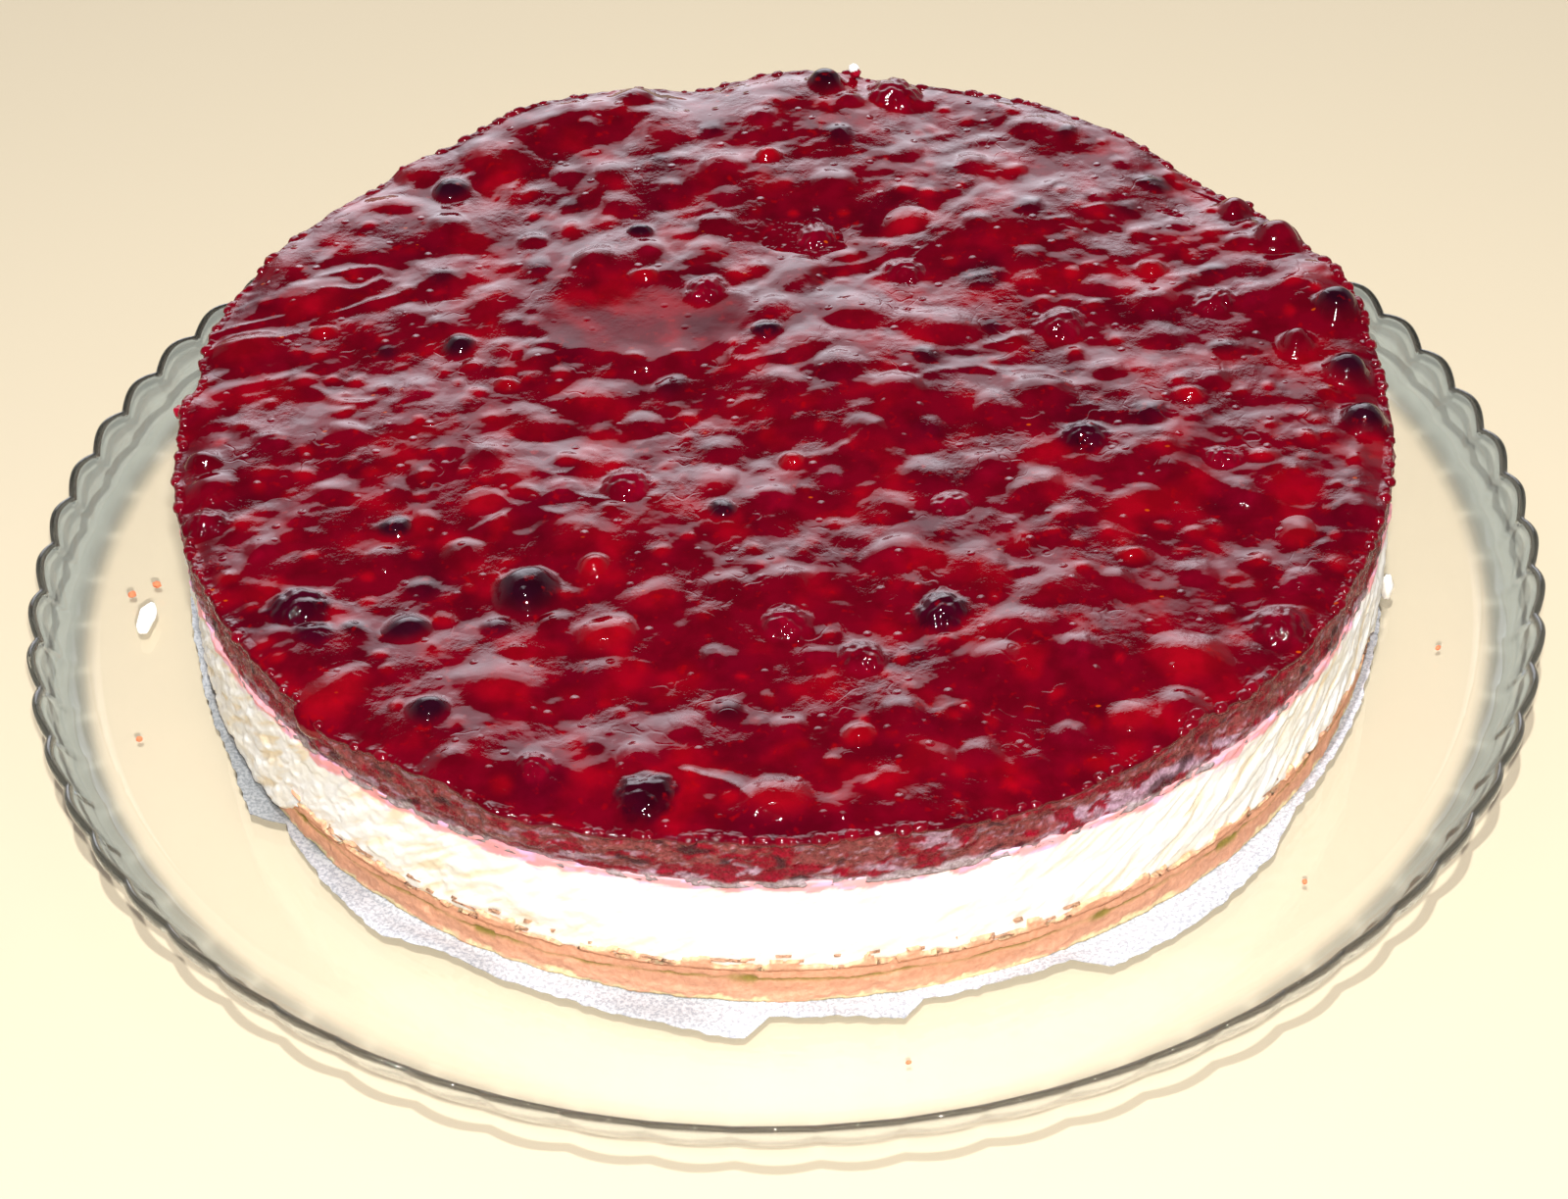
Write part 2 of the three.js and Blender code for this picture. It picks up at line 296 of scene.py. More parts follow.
# --- materials ------------------------------------------------------------------------------


class Finish:
    """A material and short ways to add and join its nodes."""

    def __init__(self, name, **sockets):
        self.material = bpy.data.materials.new(name)
        self.material.use_nodes = True
        self.tree = self.material.node_tree
        self.shader = self.tree.nodes["Principled BSDF"]
        for socket, value in sockets.items():
            self.shader.inputs[socket.replace("_", " ")].default_value = value

    def add(self, kind, inputs=None, **settings):
        node = self.tree.nodes.new(kind)
        for key, value in settings.items():
            setattr(node, key, value)
        for key, value in (inputs or {}).items():
            if isinstance(value, bpy.types.NodeSocket):
                self.tree.links.new(value, node.inputs[key])
            else:
                node.inputs[key].default_value = value
        return node

    def place(self, stretch=(1, 1, 1)):
        place = self.add("ShaderNodeTexCoord").outputs["Object"]
        return self.add("ShaderNodeMapping", {"Vector": place, "Scale": stretch}).outputs["Vector"]

    def noise(self, size, detail=3, rough=0.5, stretch=(1, 1, 1)):
        """Noise whose lumps are about size metres across."""
        inputs = {"Vector": self.place(stretch), "Scale": 1 / size}
        inputs |= {"Detail": detail, "Roughness": rough}
        return self.add("ShaderNodeTexNoise", inputs).outputs["Fac"]

    def times(self, first, second):
        return self.add("ShaderNodeMath", {0: first, 1: second}, operation="MULTIPLY").outputs[0]

    def seeds(self, size):
        """Tiny seeds, scattered about size metres apart, with nearly all of them left out."""
        near = self.add("ShaderNodeTexVoronoi", {"Vector": self.place((1, 1.8, 1)), "Scale": 1 / size})
        dot = self.spread(near.outputs["Distance"], 0.2, 0.12)
        chance = self.add("ShaderNodeSeparateColor", {"Color": near.outputs["Color"]})
        return self.times(dot, self.spread(chance.outputs[0], 0.983, 0.99))

    def pips(self, size):
        """Small round pips under the skin, as heights, about size metres apart."""
        near = self.add("ShaderNodeTexVoronoi", {"Vector": self.place(), "Scale": 1 / size})
        chance = self.add("ShaderNodeSeparateColor", {"Color": near.outputs["Color"]})
        kept = self.spread(chance.outputs[1], 0.60, 0.62)
        return self.times(self.spread(near.outputs["Distance"], 0.22, 0.04), kept)

    def creases(self, size):
        """Thin winding lines where the skin is creased, as heights, about size metres apart."""
        middle = self.add("ShaderNodeMath", {0: self.noise(size, 1), 1: 0.5}, operation="SUBTRACT")
        away = self.add("ShaderNodeMath", {0: middle.outputs[0]}, operation="ABSOLUTE")
        return self.spread(away.outputs[0], 0.0, 0.035)

    def attribute(self, name):
        return self.add("ShaderNodeAttribute", attribute_name=name).outputs["Color"]

    def spread(self, value, low, high, out_low=0.0, out_high=1.0):
        inputs = {"Value": value, "From Min": low, "From Max": high}
        inputs |= {"To Min": out_low, "To Max": out_high}
        return self.add("ShaderNodeMapRange", inputs).outputs["Result"]

    def blend(self, share, first, second, how="MIX"):
        node = self.add("ShaderNodeMix", data_type="RGBA", blend_type=how)
        for key, value in ((0, share), (6, first), (7, second)):
            if isinstance(value, bpy.types.NodeSocket):
                self.tree.links.new(value, node.inputs[key])
            elif key:
                node.inputs[key].default_value = (*value, 1) if len(value) == 3 else value
            else:
                node.inputs[key].default_value = value
        return node.outputs[2]

    def colour(self, value):
        self.tree.links.new(value, self.shader.inputs["Base Color"])

    def roughness(self, value):
        self.tree.links.new(value, self.shader.inputs["Roughness"])

    def bump(self, *heights):
        """Bumps as (height, distance in metres, strength), from the coarsest to the finest."""
        normal = None
        for height, distance, strength in heights:
            inputs = {"Height": height, "Distance": distance, "Strength": strength}
            if normal is not None:
                inputs["Normal"] = normal
            normal = self.add("ShaderNodeBump", inputs).outputs["Normal"]
        self.tree.links.new(normal, self.shader.inputs["Normal"])


def wet_finish(name, beaded_rim=False, roughness=0.06):
    """Wet jelly over fruit: a sheen that fine wrinkles break here and there."""
    finish = Finish(name, Roughness=roughness, IOR=1.42)
    patches = finish.noise(6 * MM, 4)
    tone = finish.blend(finish.spread(patches, 0.38, 0.62), (0.8, 0.8, 0.8), (1.18, 1.18, 1.18))
    tinted = finish.blend(1.0, finish.attribute("tint"), tone, "MULTIPLY")
    pulp = finish.spread(finish.noise(2.4 * MM, 2), 0.62, 0.80, 0.0, 0.6)
    pulpy = finish.blend(pulp, tinted, (0.25, 0.0006, 0.001))
    finish.colour(finish.blend(finish.seeds(3.1 * MM), pulpy, (0.34, 0.045, 0.002)))
    fine = finish.noise(1.7 * MM, 3, 0.55)
    wrinkles = finish.times(fine, finish.spread(finish.noise(9 * MM, 2), 0.46, 0.6))
    lines = finish.creases(5.5 * MM)
    creased = finish.times(lines, finish.spread(finish.noise(14 * MM, 2), 0.57, 0.67))
    lively = finish.spread(finish.attribute("still"), 0.0, 1.0, 1.0, 0.1)
    # From the coarsest: broad waves, pips, fine wrinkles and thin creases.
    heights = [
        (finish.times(finish.noise(4.4 * MM, 2), lively), 0.30 * MM, 0.4),
        (finish.times(finish.pips(4.4 * MM), lively), 0.30 * MM, 0.9),
        (finish.times(wrinkles, lively), 0.3 * MM, 0.6),
        (finish.times(creased, lively), 0.12 * MM, 0.5),
    ]
    if beaded_rim:
        beads = finish.times(finish.noise(1.7 * MM, 1), finish.attribute("rim"))
        heights.append((beads, 0.5 * MM, 0.8))
    finish.bump(*heights)
    return finish.material


def cut_jelly_finish():
    finish = Finish("cut_jelly", IOR=1.4, Specular_IOR_Level=0.22)
    film = finish.noise(1.3 * MM, 4, 0.6)
    tone = finish.blend(finish.spread(film, 0.35, 0.65), (0.7, 0.6, 0.62), (1.3, 1.3, 1.3))
    finish.colour(finish.blend(1.0, finish.attribute("tint"), tone, "MULTIPLY"))
    blotches = finish.noise(2.6 * MM, 3)
    finish.roughness(finish.spread(blotches, 0.42, 0.58, 0.45, 0.08))
    finish.bump((film, 0.6 * MM, 0.8), (finish.noise(0.7 * MM, 1), 0.35 * MM, 0.9))
    return finish.material


def cream_finish():
    finish = Finish("set_cream", Roughness=0.5, IOR=1.4)
    warm = finish.noise(9 * MM, 4, stretch=(1, 1, 0.5))
    tone = finish.blend(finish.spread(warm, 0.4, 0.62), (1, 1, 1), (0.99, 0.96, 0.88))
    finish.colour(finish.blend(1.0, finish.attribute("tint"), tone, "MULTIPLY"))
    finish.bump((finish.noise(3 * MM, 4), 0.5 * MM, 0.5), (finish.noise(0.9 * MM, 3), 0.15 * MM, 0.5))
    return finish.material


def crumb_finish():
    finish = Finish("biscuit_crumb", Roughness=0.9, IOR=1.4)
    grain = finish.noise(1.1 * MM, 4, 0.6)
    tone = finish.blend(finish.spread(grain, 0.35, 0.65), (0.93, 0.88, 0.85), (1.06, 1.08, 1.1))
    finish.colour(finish.blend(1.0, finish.attribute("tint"), tone, "MULTIPLY"))
    finish.bump((grain, 0.3 * MM, 0.7), (finish.noise(0.5 * MM, 2), 0.12 * MM, 0.6))
    return finish.material


def paper_finish():
    finish = Finish("baking_paper", Roughness=0.55, IOR=1.4)
    specks = finish.spread(finish.noise(0.7 * MM, 3, 0.7), 0.40, 0.58)
    tone = finish.blend(specks, (1, 1, 1), (1.75, 1.70, 1.62))
    finish.colour(finish.blend(1.0, finish.attribute("tint"), tone, "MULTIPLY"))
    finish.bump((finish.noise(3 * MM, 4), 0.3 * MM, 0.5))
    return finish.material


# The share of the glass that is plainly clear also to the eye.
ALWAYS_CLEAR = 0.08


def glass_finish():
    """Clear glass that lets the light of lamps through, less of it where its wall is thick."""
    finish = Finish("clear_glass", Roughness=0.0, IOR=1.5, Transmission_Weight=1.0)
    # The tint is painted shade on the wall, and clear on the floor.
    finish.colour(finish.attribute("tint"))
    path = finish.add("ShaderNodeLightPath").outputs
    lit = finish.add("ShaderNodeMath", {0: path["Is Shadow Ray"], 1: path["Is Diffuse Ray"]})
    lit.operation = "MAXIMUM"
    share = finish.add("ShaderNodeMath", {0: lit.outputs[0], 1: ALWAYS_CLEAR})
    share.operation = "MAXIMUM"
    clear = finish.add("ShaderNodeBsdfTransparent", {"Color": finish.attribute("cast")})
    both = finish.add("ShaderNodeMixShader", {0: share.outputs[0]})
    finish.tree.links.new(finish.shader.outputs["BSDF"], both.inputs[1])
    finish.tree.links.new(clear.outputs["BSDF"], both.inputs[2])
    surface = finish.tree.nodes["Material Output"].inputs["Surface"]
    finish.tree.links.new(both.outputs["Shader"], surface)
    return finish.material


# --- the plate, the paper and the layers ----------------------------------------------------


# The share of a lamp's light that passes the bend of the floor, and that passes the lip.
PASSED_AT_BEND = 0.74
PASSED_AT_LIP = 0.04


def make_plate():
    """The glass: a flat floor and a low wall of outward flutes, with a lip that arches up over each."""
    lip, top, floor = LIP_RADIUS, PLATE_TOP, PAPER_BOTTOM
    rings = [(radius * MM, level * MM) for radius, level in PLATE_FOOT]
    rings += [(lip + out * MM, level * MM) for out, level in WALL_OUTSIDE]
    rings += [(lip + out * MM, top - down * MM) for out, down in LIP]
    rings += [(lip + out * MM, level * MM) for out, level in WALL_INSIDE]
    rings += [(FLOOR_EDGE * MM, floor + 0.05 * MM), *[(radius * MM, floor) for radius in FLOOR_RADII]]
    plate = stack_of_rings(FLUTES * STEPS_PER_FLUTE, rings)
    points = points_of(plate)
    radius = np.hypot(points[:, 0], points[:, 1])
    angle = np.arctan2(points[:, 1], points[:, 0])
    flute = np.abs(np.sin(angle * FLUTES / 2))
    height = points[:, 2].copy()
    rise = smooth(1 * MM, top - 2 * MM, height) * (radius > 154.2 * MM)
    new_radius = radius + FLUTE_DEPTH * flute * rise
    points[:, 0] = np.cos(angle + FLUTE_TURN) * new_radius
    points[:, 1] = np.sin(angle + FLUTE_TURN) * new_radius
    points[:, 2] -= LIP_DIP * (1 - flute) * smooth(6 * MM, top, height)
    set_points(plate, points)
    # How much of a lamp's light the glass lets through: less at the lip, and less where the floor
    # bends up to the wall, but for bright lines where two flutes meet.
    bend = smooth(153.2 * MM, 153.8 * MM, radius) * smooth(5.4 * MM, 4.2 * MM, height)
    bend *= smooth(158.4 * MM, 157.4 * MM, radius) * smooth(0.12, 0.35, flute)
    edge = smooth(11.2 * MM, 12.6 * MM, height)
    passed = mix(mix(1.0, PASSED_AT_BEND, bend), PASSED_AT_LIP, edge)
    set_colour(plate, "cast", passed[:, None])
    # The wall's glass is tinted grey-blue as painted shade, lighter at the front where the table shows
    # through it.
    wall = smooth(153.6 * MM, 156 * MM, radius)[:, None]
    front = smooth(-0.5, -0.9, np.sin(angle))[:, None]
    wall_shade_tint = mix(GLASS_WALL_SHADE, GLASS_FRONT_LESS_SHADE, front)
    set_colour(plate, "tint", mix(GLASS_CLEAR, wall_shade_tint, wall))
    return finish_piece(plate, "glass_plate", glass_finish(), ["cake_plate"])


def paper_reach(angle):
    """How far the paper reaches from the cake's middle, with its small tears."""
    places, reach = np.array(PAPER_EDGE).T
    tears = Noise(SEED + 1)
    line = np.interp(angle, places, reach) * MM
    circle = columns(np.cos(np.radians(angle)), np.sin(np.radians(angle)), 0)
    return line + tears(circle * 40, 3) * 0.5 * MM


def make_paper():
    bottom = PAPER_BOTTOM + 0.05 * MM
    under = [(reach * MM, bottom) for reach in PAPER_RINGS]
    over = [(reach * MM, bottom + PAPER_SHEET) for reach in reversed(PAPER_RINGS)]
    paper = stack_of_rings(PAPER_STEPS, under + over, CAKE)
    points = points_of(paper)
    angle, radius = seen_from_cake(points)
    outside = np.clip((radius - PAPER_FREE) / PAPER_FREE_WIDTH, 0, 1)
    new_radius = np.where(outside > 0, mix(PAPER_FREE, paper_reach(angle), outside), radius)
    waves = Noise(SEED + 2)
    circle = columns(np.cos(np.radians(angle)), np.sin(np.radians(angle)), outside * 0.3)
    lift = smooth(0.3, 1, outside) * (1.0 + 0.9 * waves(circle * 5, 2)) * MM
    points[:, 0] = CAKE.x + np.cos(np.radians(angle)) * new_radius
    points[:, 1] = CAKE.y + np.sin(np.radians(angle)) * new_radius
    points[:, 2] += np.clip(lift, 0, None)
    set_points(paper, points)
    # The paper is greyer at the left, where it comes free of the cake, and in patches elsewhere.
    greyest, grey_width = 207, 14
    blotches = np.exp(-(((angle - greyest) / grey_width) ** 2))
    blotches = np.clip(blotches + 0.5 * smooth(-0.1, 0.6, waves(circle * 3 + 20, 3)), 0, 1)
    set_colour(paper, "tint", mix(PAPER_PALE, PAPER_GREY, blotches[:, None]))
    return finish_piece(paper, "paper_sheet", paper_finish(), ["baking_paper"], 40)


def wall_rings(radius, bottom, top, rows):
    """Rings for a plain upright wall with a cap a little inside at both ends."""
    cap = radius - 8 * MM
    return [(cap, bottom), *[(radius, level) for level in np.linspace(bottom, top, rows)], (cap, top)]


def push_out(points, distance):
    """Moves points straight away from the cake's upright axis."""
    middle = np.array(CAKE[:2])
    away = points[:, :2] - middle
    radius = np.maximum(np.hypot(*away.T), 1 * MM)
    points[:, :2] += away / radius[:, None] * distance[:, None]


def round_noise(noise, angle, height, size_round, size_up, octaves=2, slant=0.0):
    """Noise on the wall that closes on itself, with lumps of a size round and up, in mm."""
    turn = np.radians(angle + slant * height)
    reach = CAKE_RADIUS / MM / size_round
    return noise(columns(np.cos(turn) * reach, np.sin(turn) * reach, height / size_up), octaves)


def base_cover(angle):
    """Where the cream runs down over the crumb base to the paper: 1 is covered, 0 is bare."""
    left = smooth(150, 172, angle) * smooth(220, 213, angle)
    right = np.maximum(smooth(338, 348, angle), smooth(40, 25, angle))
    return np.maximum(left, right)


# The crumb base, in mm: how far it lies inside the cake's radius, how far its clumps climb up
# the cream, how high its groove runs, and how far it hides in the cream where no clump shows.
BASE_INSET = 0.8 * MM
CLUMPS_CLIMB = 4.5 * MM
GROOVE_LEVEL = 6.0
BASE_HIDDEN = -2.2
CLUMPS_STAND = 1.3


def make_base():
    """The crumb base: ragged, with a dark groove round it and clumps that stick to the cream."""
    rings = wall_rings(CAKE_RADIUS - BASE_INSET, BASE_BOTTOM, CREAM_BOTTOM + CLUMPS_CLIMB, 32)
    base = stack_of_rings(WALL_STEPS, rings, CAKE)
    points = points_of(base)
    angle, radius = seen_from_cake(points)
    height = points[:, 2] / MM
    level = height - BASE_BOTTOM / MM
    clumps = round_noise(Noise(SEED + 11), angle, height, 6, 4, 3)
    grains = round_noise(Noise(SEED + 12), angle, height, 1.3, 1.1, 2)
    groove_level = GROOVE_LEVEL + 0.9 * round_noise(Noise(SEED + 13), angle, 0 * height, 26, 1, 2)
    holes = smooth(0.45, 0.6, round_noise(Noise(SEED + 14), angle, 0 * height, 9, 1, 2))
    groove = np.exp(-(((level - groove_level) / (0.3 + 0.8 * holes)) ** 2))
    depth = round_noise(Noise(SEED + 18), angle, 0 * height, 14, 1, 2)
    groove *= 0.4 + 0.6 * smooth(-0.2, 0.2, depth)
    blocks = smooth(0.02, 0.12, round_noise(Noise(SEED + 17), angle, 0 * height, 10, 1, 3))
    scallops = 1.3 * round_noise(Noise(SEED + 15), angle, 0 * height, 7, 1, 4) + 2.0 * blocks - 0.6
    flecks = round_noise(Noise(SEED + 16), angle, height, 8, 1.1, 2)
    over = level - (CREAM_BOTTOM - BASE_BOTTOM) / MM
    over_scallops = smooth(0.25, -0.05, over - scallops - 0.6)
    shows = np.maximum(over_scallops, smooth(0.31, 0.36, flecks - 0.05 * over))
    bare = smooth(0.5, 0.1, base_cover(angle))
    ragged = over > -0.6
    shows = np.where(ragged, shows * bare, 1) * (over < 4)
    wall = radius > CAKE_RADIUS - 3 * MM
    relief = 0.35 * clumps + 0.2 * grains - 0.5 * groove
    stuck = mix(relief, CLUMPS_STAND + 0.15 * grains, smooth(-1.8, 0.0, over))
    relief = np.where(ragged, mix(BASE_HIDDEN, stuck, shows), relief)
    push_out(points, wall * relief * MM)
    set_points(base, points)
    colour = mix(BISCUIT * 0.96, BISCUIT * 1.05, smooth(-0.4, 0.5, clumps)[:, None])
    foot = smooth(1.3, 0.5, level + 0.9 * clumps + 0.5 * grains)[:, None]
    colour = mix(colour, PALE_CRUMB, foot * 0.8)
    edge = smooth(-0.5, 0.0, over - scallops - 0.4) * smooth(-0.1, 0.4, grains)
    edge *= smooth(1.7, 1.0, over - scallops)
    fringe = np.maximum(edge * 0.4, 0.85 * smooth(1.0, 0.75, shows) * ragged)
    colour = mix(colour, PALE_CRUMB, fringe[:, None])
    colour = mix(colour, GROOVE_OLIVE, np.clip(groove * 1.3, 0, 1)[:, None])
    set_colour(base, "tint", colour)
    return finish_piece(base, "crumb_base", crumb_finish(), ["biscuit_base"])


CREAM_INSET = 0.3 * MM
# Direction in degrees in which the cream is smoothest, and how wide that is.
SMOOTHEST = 272
SMOOTH_WIDTH = 30


def make_cream():
    """The cream: smeared slantwise by the tin's ring, ragged where it meets the base."""
    top = JELLY_BOTTOM + 0.6 * MM
    cream = stack_of_rings(WALL_STEPS, wall_rings(CAKE_RADIUS - CREAM_INSET, 0, 1, 44), CAKE)
    points = points_of(cream)
    angle, radius = seen_from_cake(points)
    cover = base_cover(angle)
    ragged = round_noise(Noise(SEED + 24), angle, 0 * angle, 6, 1, 3)
    on_base = CREAM_BOTTOM + (1.2 * ragged - 0.7) * MM
    over_base = BASE_BOTTOM + (1.2 + 1.2 * ragged) * MM
    low_edge = mix(on_base, over_base, cover)
    share = points[:, 2].copy()
    points[:, 2] = mix(low_edge, top, share)
    height = points[:, 2] / MM
    roughness = mix(1.0, 0.2, np.exp(-(((angle - SMOOTHEST) / SMOOTH_WIDTH) ** 2)))
    smears = 1 - 2 * np.abs(round_noise(Noise(SEED + 21), angle, height, 4.5, 11, 3, slant=-0.55))
    flakes = smooth(0.0, 0.25, round_noise(Noise(SEED + 27), angle, height, 6, 8, 2, slant=-0.4))
    pits = round_noise(Noise(SEED + 22), angle, height, 3.2, 2.2, 2)
    swell = round_noise(Noise(SEED + 23), angle, height, 30, 12, 2)
    wall = radius > CAKE_RADIUS - 3 * MM
    relief = roughness * (0.3 * smears + 0.45 * flakes + 0.2 * pits)
    relief += 0.5 * swell * smooth(0.0, 0.3, share)
    thinned = smooth(0.0, 0.04, share)
    push_out(points, wall * ((relief + 0.25 * cover) * thinned - 0.5 * (1 - thinned)) * MM)
    set_points(cream, points)
    # The creases between the smears are painted warm yellow, as painted shade.
    creases = smooth(0.35, -0.45, smears) * roughness
    colour = mix(CREAM_WHITE, CREAM_CREASE_SHADE, (creases * 0.65)[:, None])
    border = JELLY_BOTTOM / MM - 2.0 + 1.7 * round_noise(Noise(SEED + 25), angle, 0 * height, 8, 1, 4)
    over = height - border
    splashes = smooth(0.2, 0.45, round_noise(Noise(SEED + 26), angle, height, 5, 1.6, 2))
    colour = mix(colour, STAIN_MAGENTA, (splashes * smooth(-2.5, -0.5, over) * 0.5)[:, None])
    stained = mix(STAIN_SALMON, STAIN_MAGENTA, splashes[:, None] * 0.7)
    colour = mix(colour, stained, smooth(-0.2, 0.35, over)[:, None])
    set_colour(cream, "tint", colour)
    return finish_piece(cream, "cream_layer", cream_finish(), ["cream_filling"])


# --- berries --------------------------------------------------------------------------------


def node_berries():
    """Each berry node as kind, centre, half sizes and the direction of its long way."""
    berries = []
    for name in sorted(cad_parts):
        kind = name.rsplit("_", 1)[0]
        if kind not in FRUIT:
            continue
        points = points_of(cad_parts[name])
        low, high = points.min(0), points.max(0)
        centre = (low + high) / 2
        flat = points[:, :2] - centre[:2]
        ways = np.linalg.eigh(flat.T @ flat)[1]
        long_way = ways[:, 1]
        half_long = np.abs(flat @ ways[:, 1]).max()
        half_short = np.abs(flat @ ways[:, 0]).max()
        berries.append({
            "name": name, "kind": kind, "centre": centre, "turn": math.atan2(long_way[1], long_way[0]),
            "half": np.array((half_long, half_short, (high[2] - low[2]) / 2)),
        })
    return berries


# --- the jelly ------------------------------------------------------------------------------

# Fruit under the skin: kind, how many, least and most half size, and how far its top stands over
# the jelly's level at least and at most, all in mm.
SUNK_FRUIT = [
    ("strawberry", 24, 6.0, 9.5, 0.2, 1.3),
    ("cherry", 60, 4.0, 7.0, 0.6, 2.4),
    ("raspberry", 34, 4.2, 6.0, 0.5, 2.0),
    ("bramble", 9, 4.6, 6.2, 0.6, 2.0),
    ("blueberry", 16, 3.0, 4.6, 0.3, 1.4),
    ("currant", 90, 2.1, 3.4, 0.3, 1.2),
    ("currant", 230, 1.3, 2.1, 0.2, 0.7),
]


def rim_lump(angle, way):
    total = np.zeros_like(angle)
    for place, width, out, up in RIM_LUMPS:
        turn = (angle - place + 180) % 360 - 180
        total += (out if way == "out" else up) * np.exp(-((turn / width) ** 2))
    return total


def jelly_level(x, y):
    """The part's own surface: long waves and a soft edge, for x and y from the cake's middle."""
    xm, ym = x / MM, y / MM
    radius = np.hypot(xm, ym)
    angle = np.degrees(np.arctan2(ym, xm)) % 360
    reach = CAKE_RADIUS / MM
    waves = 0.7 * np.sin(xm / 13 + 0.6) * np.cos(ym / 17) + 0.6 * np.sin((xm + 2 * ym) / 24)
    edge = 1.1 * smooth(reach - 8, reach + 1, radius)
    lump = rim_lump(angle, "up") * smooth(reach - 26, reach - 6, radius)
    return JELLY_TOP + (waves - edge + lump) * MM


def dome(share):
    """Height of the skin over a fruit, from 1 over its middle, and on down past its outline."""
    inside = np.minimum(share, 1)
    slope = 2 * DOME_FALL + 4 * DOME_EDGE_FALL
    return 1 - DOME_FALL * inside**2 - DOME_EDGE_FALL * inside**4 - slope * (share - inside)


def soft_max(first, second, fillet):
    overlap = np.maximum(fillet - np.abs(first - second), 0) / fillet
    return np.maximum(first, second) + overlap**2 * fillet / 4


def soft_min(first, second, fillet):
    return -soft_max(-first, -second, fillet)


# The largest still pool: its middle and half sizes in mm, from the cake's middle.
POOL = (-30, 29)
POOL_HALF = (25, 15)
POOL_RISE = 0.9

# The way in which the spoon went, in degrees, and in mm how high its marks stand and from what
# height on they end in a flat pool.
SPOON_LEAN = 20
SWIRLS_HIGH = 0.9
POOLS_FROM = 0.4
CRESTS_HIGH = 0.8
RIPPLES_HIGH = 0.26


def pool_share(x, y):
    """1 in the largest still pool, and 0 outside its shore."""
    out_x, out_y = (x / MM - POOL[0]) / POOL_HALF[0], (y / MM - POOL[1]) / POOL_HALF[1]
    shore = np.hypot(out_x, out_y) + 0.16 * Noise(SEED + 33)(columns(x / MM / 6, y / MM / 6, 12.5), 2)
    return smooth(1.12, 0.92, shore)


def spooned_level(x, y):
    """The level with the swirls, crests and still pools that the spoon left in the jelly."""
    lean = math.radians(SPOON_LEAN)
    along = (x * math.cos(lean) + y * math.sin(lean)) / MM
    across = (y * math.cos(lean) - x * math.sin(lean)) / MM
    stir = Noise(SEED + 33)
    bent = across + 4 * stir(columns(along / 34, across / 34, 3.3))
    swirls = SWIRLS_HIGH * stir(columns(along / 27, bent / 17, 0))
    swirls += 1.8 * np.exp(-(((along + 21) / 22) ** 2) - ((across - 32) / 11) ** 2)
    pools = soft_min(swirls, POOLS_FROM, 0.3)
    lively = 1 - 0.8 * smooth(0.1, 0.4, swirls)
    crests = (1 - np.abs(stir(columns(along / 19, bent / 11, 5.5)))) ** 6
    crests *= smooth(0.1, 0.6, stir(columns(along / 30, bent / 30, 2.2)))
    ripples = RIPPLES_HIGH * stir(columns(along / 7, bent / 6, 7.7), 2)
    close_to_rim = smooth(CAKE_RADIUS - 4 * MM, CAKE_RADIUS - 0.8 * MM, np.hypot(x, y))
    rim = 0.3 * stir(columns(x / MM / 2.6, y / MM / 2.6, 9.1)) * close_to_rim
    stirred = jelly_level(x, y) + (pools + lively * (CRESTS_HIGH * crests + ripples) + rim - 0.1) * MM
    return mix(stirred, JELLY_TOP + POOL_RISE * MM, pool_share(x, y))


def warped(x, y):
    """Places a little out of true, so that no fruit looks drawn with a pair of compasses."""
    stir = Noise(SEED + 37)
    wide, fine = columns(x / MM / 9, y / MM / 9, 0), columns(x / MM / 3.6, y / MM / 3.6, 50)
    out_x = 1.2 * stir(wide) + 0.2 * stir(fine)
    out_y = 1.2 * stir(wide + 31.7) + 0.2 * stir(fine + 31.7)
    return x + out_x * MM, y + out_y * MM


# Beads on a raspberry or bramble: how many, their size as a share of the fruit's, and the turn
# from one to the next, in radians.
BEADS = 24
BEAD_SIZE = 0.29
GOLDEN_ANGLE = 2.39996


def fruit_lumps(kind, place, half, turn, fillet, tint, draw):
    """The lumps that one fruit pushes up in the jelly: its body, and its beads if it has them."""
    x, y, middle = place
    long, short, high = half
    body = {"x": x, "y": y, "middle": middle, "long": long, "short": short, "high": high,
            "turn": turn, "fillet": fillet, "depth": 1.0 * MM, "tint": tint}
    if kind not in ("raspberry", "bramble"):
        return [body]
    lumps = [body | {"middle": middle - 0.09 * high, "tint": tint * 0.8}]
    size = BEAD_SIZE * short
    for number in range(BEADS):
        side = 0.9 * math.sqrt((number + 0.5) / BEADS)
        spin = number * GOLDEN_ANGLE + draw.uniform(-0.15, 0.15)
        up = dome(side)
        along, across = math.cos(spin) * side * long, math.sin(spin) * side * short
        bead_x = x + along * math.cos(turn) - across * math.sin(turn)
        bead_y = y + along * math.sin(turn) + across * math.cos(turn)
        bead = {"x": bead_x, "y": bead_y, "middle": middle + up * high - size, "long": size,
                "short": size, "high": size, "turn": 0, "fillet": size * 0.5, "depth": 0.8 * MM,
                "tint": tint * draw.uniform(0.8, 1.3)}
        lumps.append(bead)
    return lumps


# How often a free place is looked for, and how close two fruits come, as a share of their sizes.
PLACE_TRIES = 40
CLOSEST = 0.8


